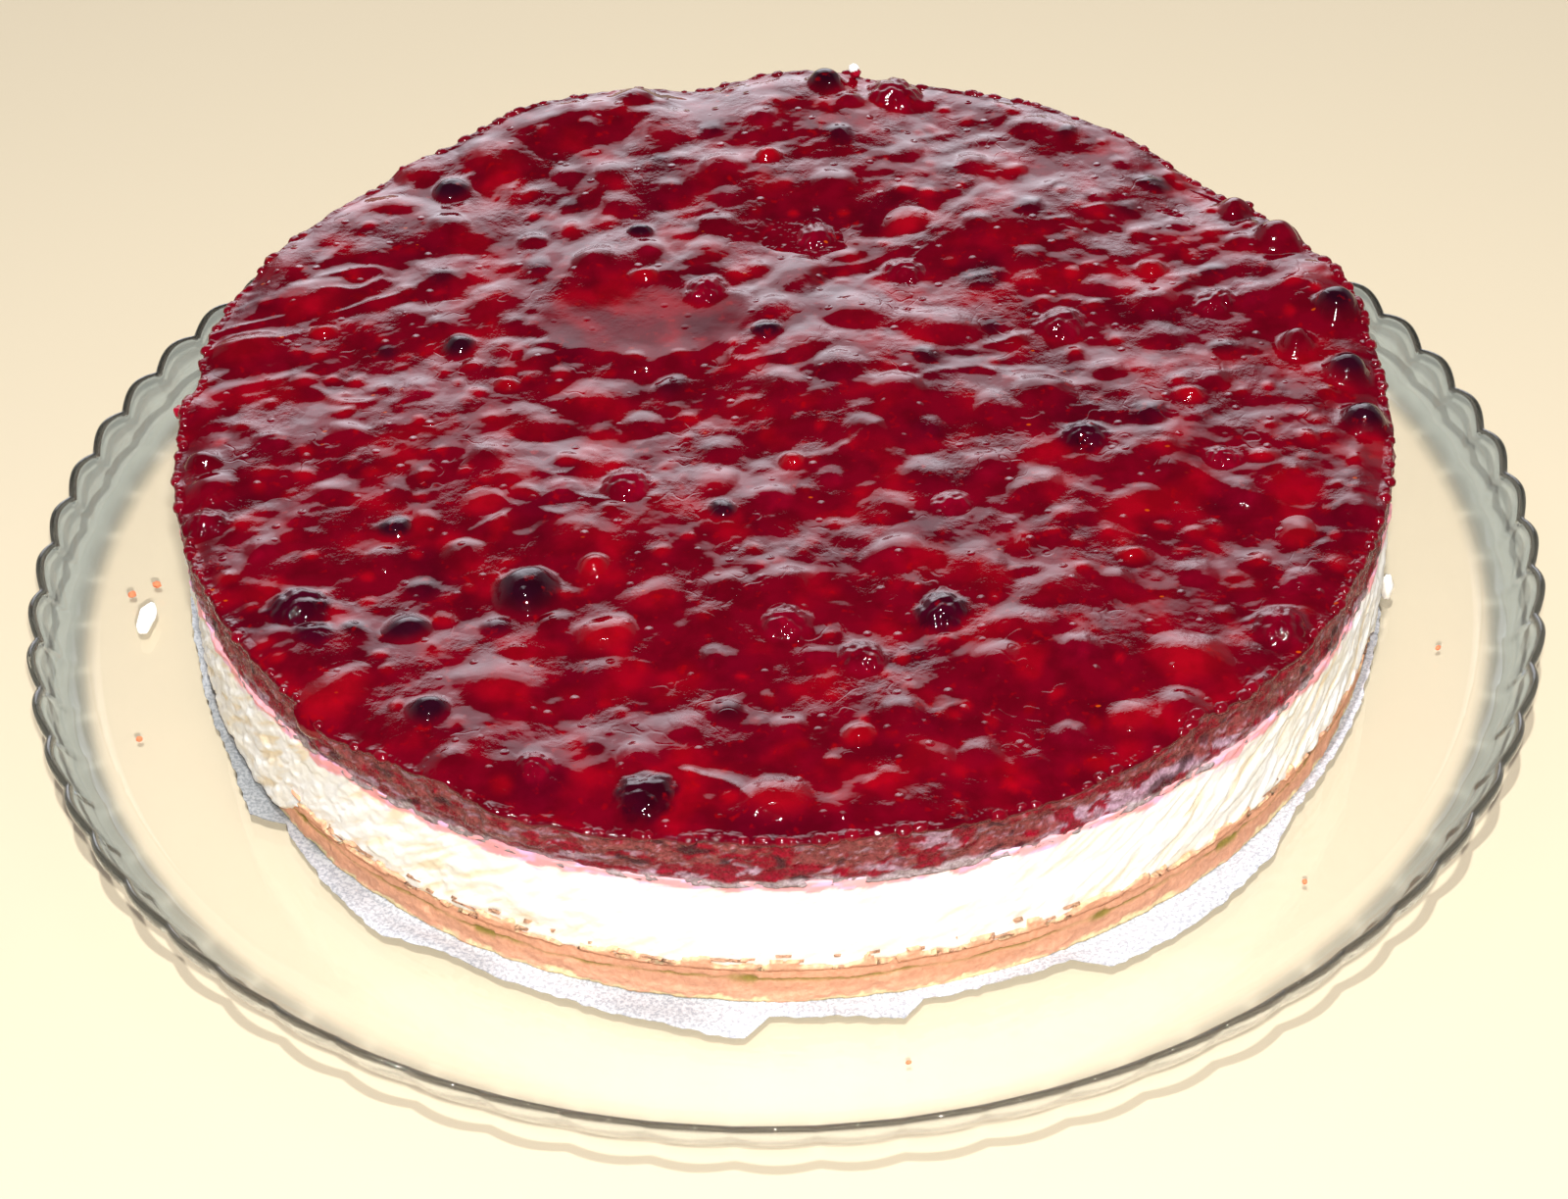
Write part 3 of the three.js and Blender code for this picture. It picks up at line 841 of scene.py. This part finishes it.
def sunk_fruit(berries, draw):
    """Fruit under the skin, clear of the berries that have their own pieces."""
    taken = [(b["centre"][0] - CAKE.x, b["centre"][1] - CAKE.y, b["half"][0]) for b in berries]
    taken += [((POOL[0] + side) * MM, POOL[1] * MM, 13 * MM) for side in (-12, 0, 12)]
    swells, lumps = [], []
    for kind, count, small, large, low, high in SUNK_FRUIT:
        for _ in range(count):
            half = draw.uniform(small, large) * MM
            for _ in range(PLACE_TRIES):
                reach = (CAKE_RADIUS - 3 * MM) * math.sqrt(draw.uniform())
                angle = draw.uniform(0, 2 * math.pi)
                x, y = reach * math.cos(angle), reach * math.sin(angle)
                if all(math.hypot(x - a, y - b) > (c + half) * CLOSEST for a, b, c in taken):
                    break
            taken.append((x, y, half))
            rise = draw.uniform(low, high) * MM
            top = spooned_level(np.array([x]), np.array([y]))[0] + rise
            stretch = draw.uniform(1.25, 1.6) if kind == "strawberry" else draw.uniform(1.0, 1.3)
            swells.append((x, y, half * 1.7, rise * 0.45))
            tint = np.array(FRUIT[kind]) * draw.uniform(0.7, 1.25)
            lumps += fruit_lumps(
                kind, (x, y, top - half), (half * stretch, half, half), draw.uniform(0, math.pi),
                draw.uniform(0.3, 0.6) * half, tint, draw,
            )
    return swells, lumps


def jelly_form(berries):
    """All that pushes the jelly up: wide swells, and lumps in the order in which they are laid."""
    draw = np.random.default_rng(SEED + 34)
    swells, lumps = sunk_fruit(berries, draw)
    for berry in berries:
        place = berry["centre"] - np.array(CAKE)
        tint = np.array(FRUIT[berry["kind"]]) * draw.uniform(0.85, 1.15)
        half = berry["half"] * BERRY_SWELL
        if berry["kind"] == "strawberry":
            place[2] -= 0.9 * MM
        fillet = min(2.0 * MM, 0.28 * half[1])
        lumps += fruit_lumps(berry["kind"], place, half, berry["turn"], fillet, tint, draw)
    return swells, lumps


def lift_over(x, y, height, colour, lump):
    """Draws the jelly over one lump and lets the fruit's colour show where the skin is thin."""
    out_x, out_y = x - lump["x"], y - lump["y"]
    near = np.flatnonzero(out_x**2 + out_y**2 < (lump["long"] * 2) ** 2)
    c, s = math.cos(lump["turn"]), math.sin(lump["turn"])
    along = (out_x[near] * c + out_y[near] * s) / lump["long"]
    across = (out_y[near] * c - out_x[near] * s) / lump["short"]
    share = np.hypot(along, across)
    skin = lump["middle"] + lump["high"] * dome(share)
    height[near] = soft_max(height[near], skin, lump["fillet"])
    seen = np.exp(-np.maximum(height[near] - skin, 0) / lump["depth"]) * smooth(1.3, 0.45, share)
    colour[near] = mix(colour[near], lump["tint"], seen[:, None] * 0.94)


def jelly_surface(x, y, form):
    """Heights and colours of the jelly over its fruit, for x and y from the cake's middle."""
    swells, lumps = form
    height = spooned_level(x, y)
    stain = Noise(SEED + 36)
    flat = columns(x / MM, y / MM, 0)
    thin = smooth(-0.1, 0.7, stain(flat / 15 + 40, 3))[:, None]
    dark = smooth(0.1, 0.7, stain(flat / 19 + 80, 2))[:, None]
    colour = mix(np.array(JELLY_DEEP), np.array(JELLY_THIN), thin)
    colour = mix(colour, np.array(JELLY_DARK), dark * 0.6)
    x, y = warped(x, y)
    for swell_x, swell_y, wide, rise in swells:
        height += rise * np.exp(-((x - swell_x) ** 2 + (y - swell_y) ** 2) / wide**2)
    for lump in lumps:
        lift_over(x, y, height, colour, lump)
    return soft_min(height, cad_high.z - 0.2 * MM, 1.0 * MM), colour


def berry_share(x, y, berry):
    """How far out a place is in a berry seen from above: 0 in its middle, 1 on its outline."""
    dx, dy = x - berry["centre"][0], y - berry["centre"][1]
    c, s = math.cos(berry["turn"]), math.sin(berry["turn"])
    half = berry["half"] * BERRY_SWELL
    return np.hypot((dx * c + dy * s) / half[0], (dy * c - dx * s) / half[1])


def disc_from_grid(points):
    """Maps a square grid of side 2 on a disc of radius 1 with nearly even cells."""
    u, v = points[:, 0], points[:, 1]
    wide = np.abs(u) >= np.abs(v)
    reach = np.where(wide, u, v)
    safe = np.where(reach == 0, 1, reach)
    turn = np.where(wide, math.pi / 4 * v / safe, math.pi / 2 - math.pi / 4 * u / safe)
    return reach * np.cos(turn), reach * np.sin(turn)


# How round the jelly's top edge is, and the cells across its surface.
LIP_ROUND = 0.7 * MM
JELLY_CELLS = 300
# How far the jelly lies under the skin of a berry that has its own piece.
UNDER_BERRY = 0.25 * MM


def edge_reach(angle):
    """The jelly's outline from the cake's middle, with its lumps."""
    ripples = Noise(SEED + 35)
    circle = columns(np.cos(np.radians(angle)), np.sin(np.radians(angle)), 0)
    small = 0.3 * ripples(circle * 47 + 9)
    return CAKE_RADIUS + (rim_lump(angle, "out") + 0.7 * ripples(circle * 13, 3) + small) * MM


def make_jelly(berries, form):
    bpy.ops.mesh.primitive_grid_add(x_subdivisions=JELLY_CELLS, y_subdivisions=JELLY_CELLS, size=2)
    jelly = bpy.context.object
    points = points_of(jelly)
    across, along = disc_from_grid(points)
    angle = np.degrees(np.arctan2(along, across)) % 360
    lip = LIP_ROUND
    reach = edge_reach(angle) - lip
    x, y = across * reach, along * reach
    height, colour = jelly_surface(x, y, form)
    for berry in berries:
        height -= UNDER_BERRY * smooth(0.92, 0.55, berry_share(x + CAKE.x, y + CAKE.y, berry))
    set_points(jelly, columns(x + CAKE.x, y + CAKE.y, height))
    count = len(points)
    on_edge = np.hypot(across, along) > 0.9999
    edit(jelly)
    bpy.ops.mesh.select_mode(type="VERT")
    bpy.ops.mesh.select_all(action="DESELECT")
    bpy.ops.object.mode_set(mode="OBJECT")
    jelly.data.vertices.foreach_set("select", on_edge)
    bpy.ops.object.mode_set(mode="EDIT")
    # Out from the lip's inner ring and down, in shares of how round the lip is.
    turns = np.radians((25, 50, 75, 100, 125))
    steps = [(math.sin(turn), 1 - math.cos(turn)) for turn in turns] + [(-0.6, 2.6)]
    for _ in steps:
        bpy.ops.mesh.extrude_region_move(TRANSFORM_OT_translate={"value": (0, 0, -0.1 * MM)})
    bpy.ops.mesh.edge_face_add()
    bpy.ops.object.mode_set(mode="OBJECT")
    points = points_of(jelly)
    edge_count = int(on_edge.sum())
    base_ring = points[:count][on_edge]
    ring_angle, _ = seen_from_cake(base_ring)
    for step, (share_out, share_down) in enumerate(steps):
        start = count + step * edge_count
        ring = points[start:start + edge_count]
        order = match_ring(ring, base_ring)
        away = np.radians(ring_angle[order])
        ring[:, 0] = base_ring[order, 0] + np.cos(away) * lip * share_out
        ring[:, 1] = base_ring[order, 1] + np.sin(away) * lip * share_out
        ring[:, 2] = base_ring[order, 2] - lip * share_down
    set_points(jelly, points)
    edge_colour = np.tile(np.array(JELLY_DEEP), (len(points) - count, 1))
    set_colour(jelly, "tint", np.concatenate([colour, edge_colour]))
    near_edge = smooth(0.990, 0.996, np.hypot(across, along))
    near_edge = np.concatenate([near_edge, np.ones(len(edge_colour))])
    set_colour(jelly, "rim", near_edge[:, None])
    still = np.concatenate([pool_share(x, y), np.zeros(len(edge_colour))])
    set_colour(jelly, "still", still[:, None])
    edit(jelly)
    bpy.ops.mesh.select_all(action="SELECT")
    bpy.ops.mesh.normals_make_consistent(inside=False)
    bpy.ops.object.mode_set(mode="OBJECT")
    finish_piece(jelly, "jelly_top", wet_finish("wet_jelly", True), ["berry_jelly"])
    order = np.argsort(ring_angle)
    return ring_angle[order], base_ring[order, 2]


def match_ring(ring, base_ring):
    """For each point of an extruded ring, the edge point that it came from."""
    from_angle = np.argsort(seen_from_cake(base_ring)[0])
    to_angle = np.argsort(seen_from_cake(ring)[0])
    order = np.empty(len(ring), int)
    order[to_angle] = from_angle
    return order


def make_jelly_side(rim_angle, rim_level):
    """The jelly's side: a dull film over cut fruit where it came free from the tin's ring."""
    bottom = JELLY_BOTTOM - 0.8 * MM
    side = stack_of_rings(WALL_STEPS, wall_rings(CAKE_RADIUS, 0, 1, 28), CAKE)
    points = points_of(side)
    angle, radius = seen_from_cake(points)
    torn = round_noise(Noise(SEED + 46), angle, 0 * angle, 4, 1, 3)
    top = np.interp(angle, rim_angle, rim_level, period=360)
    top = top - (0.35 + 0.5 * smooth(0, 0.6, torn)) * MM
    share = points[:, 2].copy()
    capped = mix(bottom, bottom + 4 * MM, share)
    points[:, 2] = np.where(radius < CAKE_RADIUS - 3 * MM, capped, mix(bottom, top, share))
    height = points[:, 2] / MM
    wall = radius > CAKE_RADIUS - 3 * MM
    lumps = round_noise(Noise(SEED + 41), angle, height, 5, 3, 3)
    grains = round_noise(Noise(SEED + 44), angle, height, 1.8, 1.2, 2)
    reach = (edge_reach(angle) - CAKE_RADIUS) * smooth(0.1, 0.6, share)
    rough = smooth(1.0, 0.85, share)
    push_out(points, wall * (reach - 0.15 * MM + rough * (0.5 * lumps + 0.25 * grains) * MM))
    set_points(side, points)
    zones = round_noise(Noise(SEED + 42), angle, height, 17, 6, 2)
    streaks = round_noise(Noise(SEED + 48), angle, height, 6, 1.6, 4, slant=-0.4)
    wisps = np.abs(round_noise(Noise(SEED + 47), angle, height, 5, 1.3, 3, slant=-0.3))
    spots = round_noise(Noise(SEED + 43), angle, height, 5.5, 2.8, 4)
    fruit = round_noise(Noise(SEED + 45), angle, height, 7, 5, 2)
    greyness = 0.9 * zones + 0.5 * smooth(0.6, 0.1, share) - 0.2
    colour = mix(FILM_BROWN, FILM_GREY, smooth(0.0, 0.5, greyness + 0.5 * streaks)[:, None])
    colour = mix(colour, FILM_GREY * 1.3, smooth(0.08, 0.0, wisps)[:, None] * 0.5)
    open_cut = smooth(0.02, 0.14, spots + 0.25 * np.minimum(zones, 0.2))[:, None]
    colour = mix(colour, CUT_CRIMSON, open_cut * 0.97)
    colour = mix(colour, CUT_DARK, smooth(0.45, 0.6, fruit)[:, None] * 0.8)
    foot = smooth(0.20, 0.12, share + 0.06 * spots)[:, None]
    set_colour(side, "tint", mix(colour, FILM_FOOT, foot))
    return finish_piece(side, "jelly_side", cut_jelly_finish())


# --- berries that stand out -----------------------------------------------------------------


# The share of a berry's width past which its skin dives under the jelly.
DIVES_AT = 0.8


def make_berry(berry, form, material):
    """A berry whose top is the jelly's own skin over it, so that it comes out of it softly."""
    bpy.ops.mesh.primitive_ico_sphere_add(subdivisions=5, radius=1)
    ball = bpy.context.object
    ways = points_of(ball)
    ways /= np.linalg.norm(ways, axis=1, keepdims=True)
    local = ways * berry["half"] * BERRY_SWELL
    c, s = math.cos(berry["turn"]), math.sin(berry["turn"])
    turned = columns(local[:, 0] * c - local[:, 1] * s, local[:, 0] * s + local[:, 1] * c, local[:, 2])
    points = turned + berry["centre"]
    tint = np.tile(np.array(FRUIT[berry["kind"]]), (len(points), 1))
    upper = ways[:, 2] > 0
    height, tint[upper] = jelly_surface(points[upper, 0] - CAKE.x, points[upper, 1] - CAKE.y, form)
    share = np.sqrt(np.maximum(1 - ways[upper, 2] ** 2, 0))
    over_jelly = 0.05 * (1 - (share / DIVES_AT) ** 2) - 6 * np.maximum(share - DIVES_AT, 0) ** 2
    points[upper, 2] = height + over_jelly * MM
    set_points(ball, points)
    set_colour(ball, "tint", tint)
    return finish_piece(ball, "fruit_" + berry["name"], material, [berry["name"]])


def make_berries(berries, form):
    materials = {kind: wet_finish(kind + "_skin") for kind in FRUIT}
    swells, lumps = form
    for berry in berries:
        x, y = berry["centre"][0] - CAKE.x, berry["centre"][1] - CAKE.y
        near = [lump for lump in lumps if math.hypot(lump["x"] - x, lump["y"] - y) < 40 * MM]
        make_berry(berry, (swells, near), materials[berry["kind"]])


# --- crumbs and drops -----------------------------------------------------------------------

# Small things beside the cake: place, half sizes and turn, in mm and degrees.
ORANGE_CRUMBS = [
    ((-145.2, 0.7, 4.7), (0.9, 0.8, 0.7), 20), ((-140.1, 3.7, 4.7), (0.8, 1.0, 0.7), 70),
    ((-137.6, -45.5, 4.6), (0.7, 0.6, 0.6), 0), ((139.5, -33.0, 4.6), (0.7, 0.5, 0.5), 40),
    ((20.0, -141.0, 4.5), (0.6, 0.4, 0.4), 10), ((101.0, -99.0, 4.5), (0.6, 0.5, 0.5), 80),
]
CREAM_BITS = [
    ((-140.9, -7.5, 4.8), (2.0, 4.9, 0.9), -4), ((130.9, -17.0, 8.2), (1.2, 1.7, 3.4), 0),
    ((21.6, 129.7, 52.3), (1.3, 1.2, 1.1), 0),
]
JELLY_BITS = [((-129.2, 12.6, 46.2), (1.5, 1.7, 1.4), 30), ((22.0, 129.4, 51.0), (1.3, 1.2, 1.2), 0)]


def make_bits(name, rows, material, tint, seed, fineness=4):
    """Several small lumps as one piece, each a ball made uneven."""
    balls = []
    for number, (place, half, turn) in enumerate(rows):
        bpy.ops.mesh.primitive_ico_sphere_add(subdivisions=fineness, radius=1)
        ball = bpy.context.object
        ways = points_of(ball)
        uneven = 1 + 0.16 * Noise(seed + number)(ways * 1.6, 3)
        local = ways * uneven[:, None] * np.array(half) * MM
        c, s = math.cos(math.radians(turn)), math.sin(math.radians(turn))
        x, y = local[:, 0] * c - local[:, 1] * s, local[:, 0] * s + local[:, 1] * c
        set_points(ball, columns(x, y, local[:, 2]) + np.array(place) * MM)
        balls.append(ball)
    bpy.ops.object.select_all(action="DESELECT")
    for ball in balls:
        ball.select_set(True)
    bpy.context.view_layer.objects.active = balls[0]
    if len(balls) > 1:
        bpy.ops.object.join()
    set_colour(balls[0], "tint", np.tile(np.array(tint), (len(balls[0].data.vertices), 1)))
    return finish_piece(balls[0], name, material)


def make_rim_beads(rim_angle, rim_level):
    """Beads of juice that stand along the jelly's rim."""
    draw = np.random.default_rng(SEED + 90)
    rows = []
    angle = 0.0
    while angle < 360:
        half = draw.uniform(0.8, 1.5)
        level = np.interp(angle, rim_angle, rim_level, period=360) / MM
        reach = edge_reach(np.array([angle]))[0] / MM - draw.uniform(0.5, 1.3)
        turn = math.radians(angle)
        x, y = CAKE.x / MM + reach * math.cos(turn), CAKE.y / MM + reach * math.sin(turn)
        wide = half * draw.uniform(1.0, 1.6)
        rows.append(((x, y, level - 0.35 * half), (half, wide, half * 0.75), angle))
        angle += 0.6 + draw.exponential(1.6)
    finish = wet_finish("jelly_bead", roughness=0.16)
    make_bits("rim_beads", rows, finish, JUICE_BEAD, SEED + 91, fineness=3)


def make_all_bits():
    make_bits("loose_crumbs", ORANGE_CRUMBS, crumb_finish(), ORANGE_CRUMB, SEED + 60)
    make_bits("cream_bits", CREAM_BITS, cream_finish(), CREAM_BIT, SEED + 70)
    make_bits("jelly_drops", JELLY_BITS, wet_finish("jelly_drop"), JELLY_DROP, SEED + 80)


# --- camera, light and floor ----------------------------------------------------------------


def make_camera():
    data = bpy.data.cameras.new("photo_view")
    data.lens = CAMERA_LENS
    data.sensor_width = 36
    camera = bpy.data.objects.new("photo_view", data)
    bpy.context.scene.collection.objects.link(camera)
    aim = Matrix.Rotation(math.radians(CAMERA_TURN), 4, "Z")
    aim = aim @ Matrix.Rotation(math.radians(90 - CAMERA_DOWN), 4, "X")
    aim = aim @ Matrix.Rotation(math.radians(CAMERA_ROLL), 4, "Z")
    camera.matrix_world = Matrix.Translation(CAMERA_PLACE) @ aim
    bpy.context.scene.camera = camera


def square_lamp(name, place, target, size, power):
    data = bpy.data.lights.new(name, "AREA")
    data.shape = "RECTANGLE"
    data.size = data.size_y = size
    data.energy = power
    light = bpy.data.objects.new(name, data)
    bpy.context.scene.collection.objects.link(light)
    light.location = place
    light.rotation_euler = (Vector(target) - Vector(place)).to_track_quat("-Z", "Y").to_euler()


# Lamps: place and size in metres, and power in watts.
FRONT_LAMP = (CAMERA_PLACE + Vector((0.01, 0.03, 0.055)), 0.025, 4.5)
TOP_LAMP = (Vector((-0.03, -0.42, 1.65)), 0.06, 22.0)
LAMPS_AIM = (0, 0, 0.03)

# The bright wall behind the cake, which the gloss mirrors. Each row is an axis of the direction
# looked in, where the brightness starts and ends on it, and the brightness there.
WALL_BANDS = [
    ("Z", 0.630, 0.590, 0.0, 0.44), ("Z", 0.590, 0.550, 0.0, 0.24), ("Z", 0.50, 0.40, 0.0, 0.42),
]
WALL_SIDES = [
    ("Y", -0.1, 0.8, 0.3, 3.2), ("X", -0.48, -0.20, 0.08, 1.0), ("X", 0.40, 0.13, 0.08, 1.0),
]
ROOM_GLOW = 0.03
EVEN_LIGHT = 0.40


def make_lights():
    """A low bright wall behind the cake, even light all round, and two small lamps in front."""
    for name, (place, size, power) in (("front_lamp", FRONT_LAMP), ("top_lamp", TOP_LAMP)):
        square_lamp(name, place, LAMPS_AIM, size, power)
    world = bpy.data.worlds.new("studio")
    world.use_nodes = True
    tree = world.node_tree
    way = tree.nodes.new("ShaderNodeTexCoord").outputs["Generated"]
    split = tree.nodes.new("ShaderNodeSeparateXYZ")
    tree.links.new(way, split.inputs[0])

    def shade(axis, *numbers):
        node = tree.nodes.new("ShaderNodeMapRange")
        node.interpolation_type = "SMOOTHSTEP"
        tree.links.new(split.outputs[axis], node.inputs["Value"])
        for key, number in zip(("From Min", "From Max", "To Min", "To Max"), numbers):
            node.inputs[key].default_value = number
        return node.outputs["Result"]

    def join(how, first, second):
        node = tree.nodes.new("ShaderNodeMath")
        node.operation = how
        for key, value in enumerate((first, second)):
            if isinstance(value, bpy.types.NodeSocket):
                tree.links.new(value, node.inputs[key])
            else:
                node.inputs[key].default_value = value
        return node.outputs[0]

    low_down, lower, lowest = (shade(*band) for band in WALL_BANDS)
    behind, left_end, right_end = (shade(*side) for side in WALL_SIDES)
    behind = join("MULTIPLY", behind, join("MULTIPLY", left_end, right_end))
    wall = join("ADD", join("ADD", low_down, lower), lowest)
    mirrored = join("ADD", join("MULTIPLY", wall, behind), ROOM_GLOW)
    # What the gloss mirrors is the wall behind; what lights dull surfaces is even all round.
    dull = tree.nodes.new("ShaderNodeLightPath").outputs["Is Diffuse Ray"]
    glossy_part = join("MULTIPLY", mirrored, join("SUBTRACT", 1.0, dull))
    strength = join("ADD", glossy_part, join("MULTIPLY", dull, EVEN_LIGHT))
    background = tree.nodes["Background"]
    background.inputs["Color"].default_value = STUDIO_WALL
    tree.links.new(strength, background.inputs["Strength"])
    bpy.context.scene.world = world


def make_floor():
    bpy.ops.mesh.primitive_plane_add(size=8, location=(0, 0, -0.1 * MM))
    floor = bpy.context.object
    floor.name = "floor"
    finish = Finish("pale_floor", Roughness=0.8, Base_Color=PALE_FLOOR)
    floor.data.materials.append(finish.material)


def main():
    bpy.context.scene.view_settings.view_transform = "Standard"
    make_camera()
    make_lights()
    make_floor()
    make_plate()
    make_paper()
    make_base()
    make_cream()
    berries = node_berries()
    form = jelly_form(berries)
    rim = make_jelly(berries, form)
    make_jelly_side(*rim)
    make_rim_beads(*rim)
    make_berries(berries, form)
    make_all_bits()


bpy.ops.object.select_all(action="DESELECT")
main()
